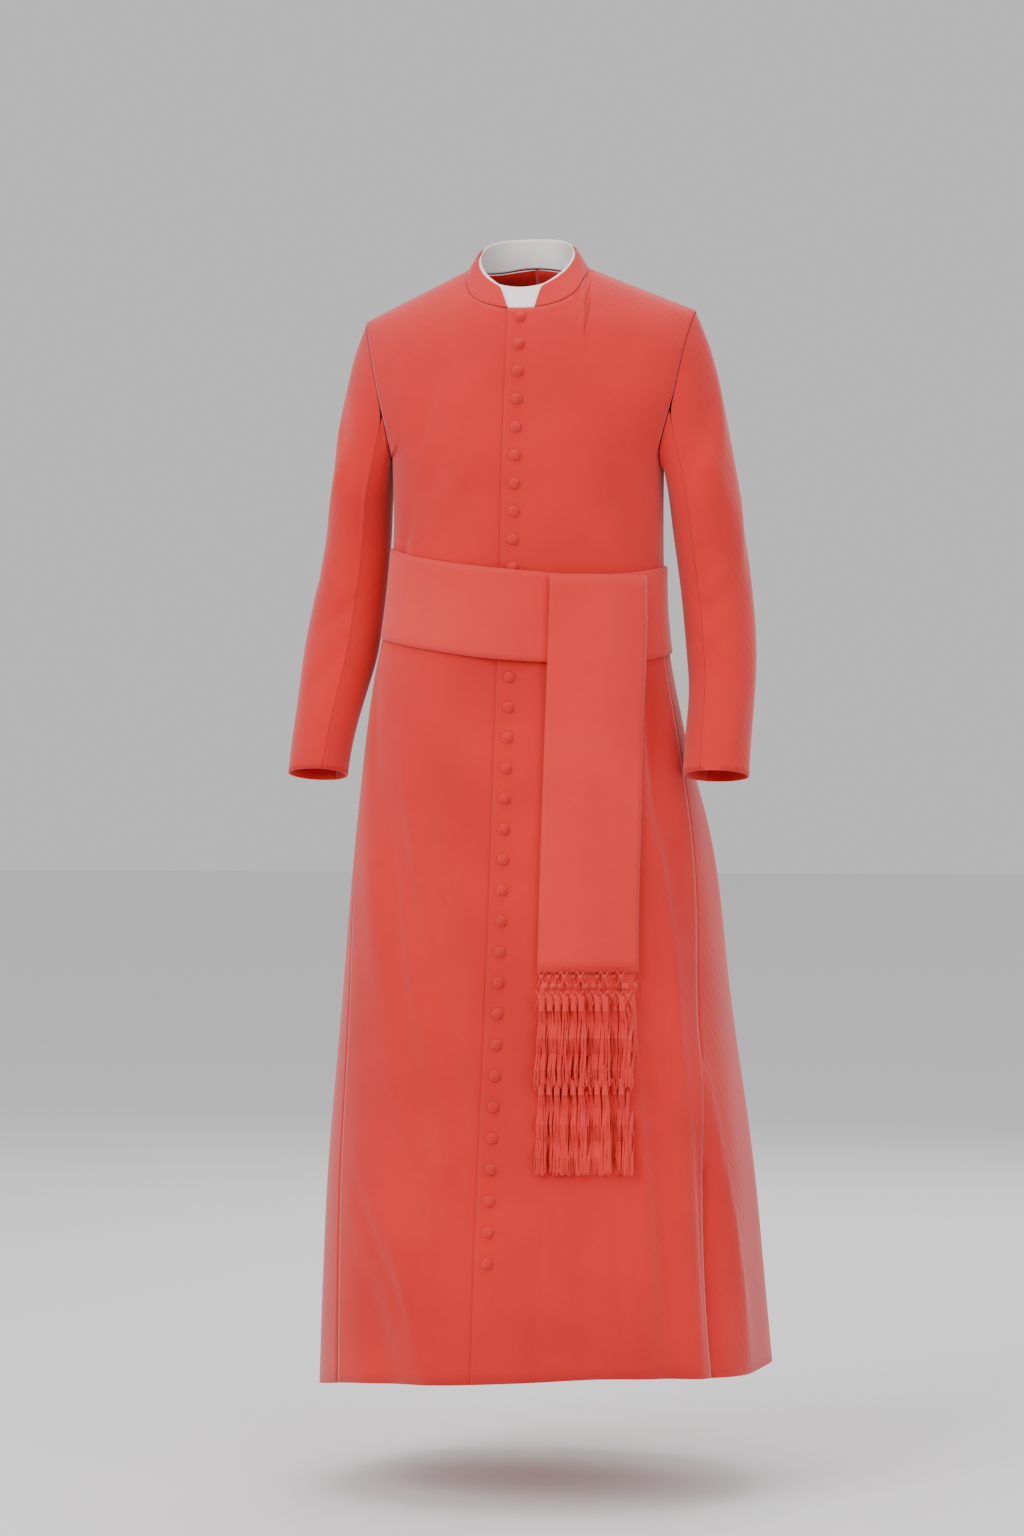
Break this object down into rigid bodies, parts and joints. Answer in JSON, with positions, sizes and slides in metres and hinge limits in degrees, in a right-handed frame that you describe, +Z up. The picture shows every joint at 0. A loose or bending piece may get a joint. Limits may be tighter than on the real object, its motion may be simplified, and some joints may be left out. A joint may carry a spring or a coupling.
{
  "type": "cassock",
  "caption": "Red buttoned cassock with standing collar, white insert and a fringed sash, in its worn hollow form",
  "frame": {"origin": "the middle of the neck opening, level with the two side neck points, where the wearer's neck and shoulders hold it", "axes": "+X to the wearer's left, the front faces -Y, +Z up"},
  "size_m": [0.6276, 0.5238, 1.4938],
  "materials": {
    "wool": "matte worsted",
    "sash_cloth": "soft sheen faille",
    "linen": "starched"
  },
  "bodies": {
    "root": {"front_left": "wool", "front_right": "wool", "back_left": "wool", "back_right": "wool", "sleeve_left_upper": "wool", "sleeve_left_under": "wool", "sleeve_right_upper": "wool", "sleeve_right_under": "wool", "collar_band": "wool", "button_01": "wool", "button_02": "wool", "button_03": "wool", "button_04": "wool", "button_05": "wool", "button_06": "wool", "button_07": "wool", "button_08": "wool", "button_09": "wool", "button_10": "wool", "button_11": "wool", "button_12": "wool", "button_13": "wool", "button_14": "wool", "button_15": "wool", "button_16": "wool", "button_17": "wool", "button_18": "wool", "button_19": "wool", "button_20": "wool", "button_21": "wool", "button_22": "wool", "button_23": "wool", "button_24": "wool", "button_25": "wool", "button_26": "wool", "button_27": "wool", "button_28": "wool", "button_29": "wool", "button_30": "wool", "button_31": "wool", "button_32": "wool", "button_33": "wool", "collar_insert": "linen", "sash_band": "sash_cloth", "sash_tail_front": "sash_cloth", "sash_tail_back": "sash_cloth", "fringe_front": "sash_cloth", "fringe_back": "sash_cloth"}
  },
  "joints": []
}
